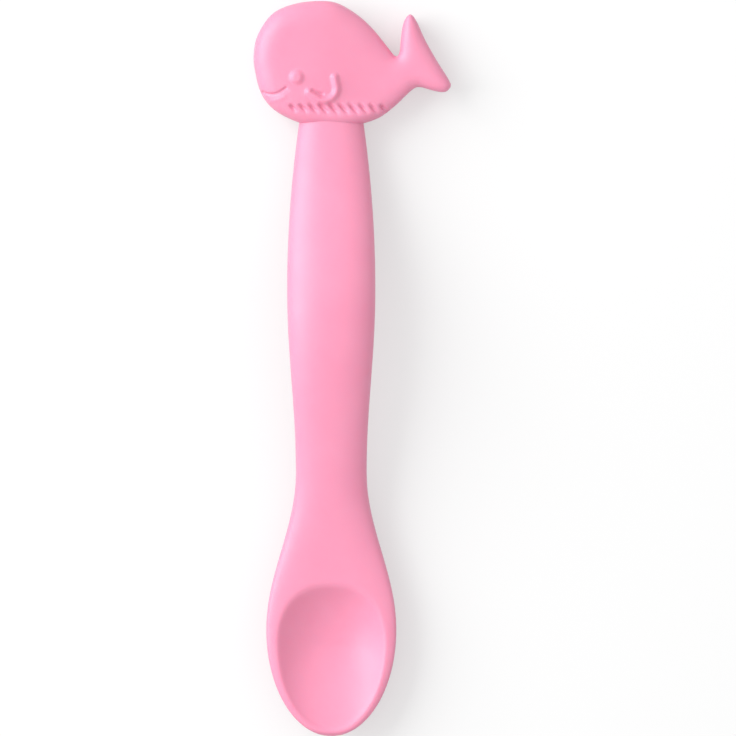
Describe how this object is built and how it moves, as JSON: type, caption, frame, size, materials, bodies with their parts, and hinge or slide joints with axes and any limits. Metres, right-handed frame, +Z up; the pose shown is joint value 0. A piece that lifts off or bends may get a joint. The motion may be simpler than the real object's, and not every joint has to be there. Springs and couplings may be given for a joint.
{
  "type": "baby spoon",
  "caption": "Soft silicone baby spoon: a deep oval bowl on an arched round-sided handle, ending in a flat-backed whale with raised eye and fin, smile and chin pleats.",
  "frame": {"origin": "middle of the whale's flat back, on the handle's centre line, which is the surface that the spoon lies on", "axes": "+Y along the spoon from the bowl to the top of the whale's head, +Z up out of the bowl and the whale's face, +X across towards the whale's tail"},
  "size_m": [0.0376, 0.14, 0.0146],
  "materials": {
    "core_steel": "brushed, rolled strip",
    "body_silicone": "matt soft silicone",
    "whale_silicone": "matt soft silicone"
  },
  "bodies": {
    "root": {"steel_core": "core_steel", "bowl_and_handle": "body_silicone", "whale_head": "whale_silicone"}
  },
  "joints": []
}
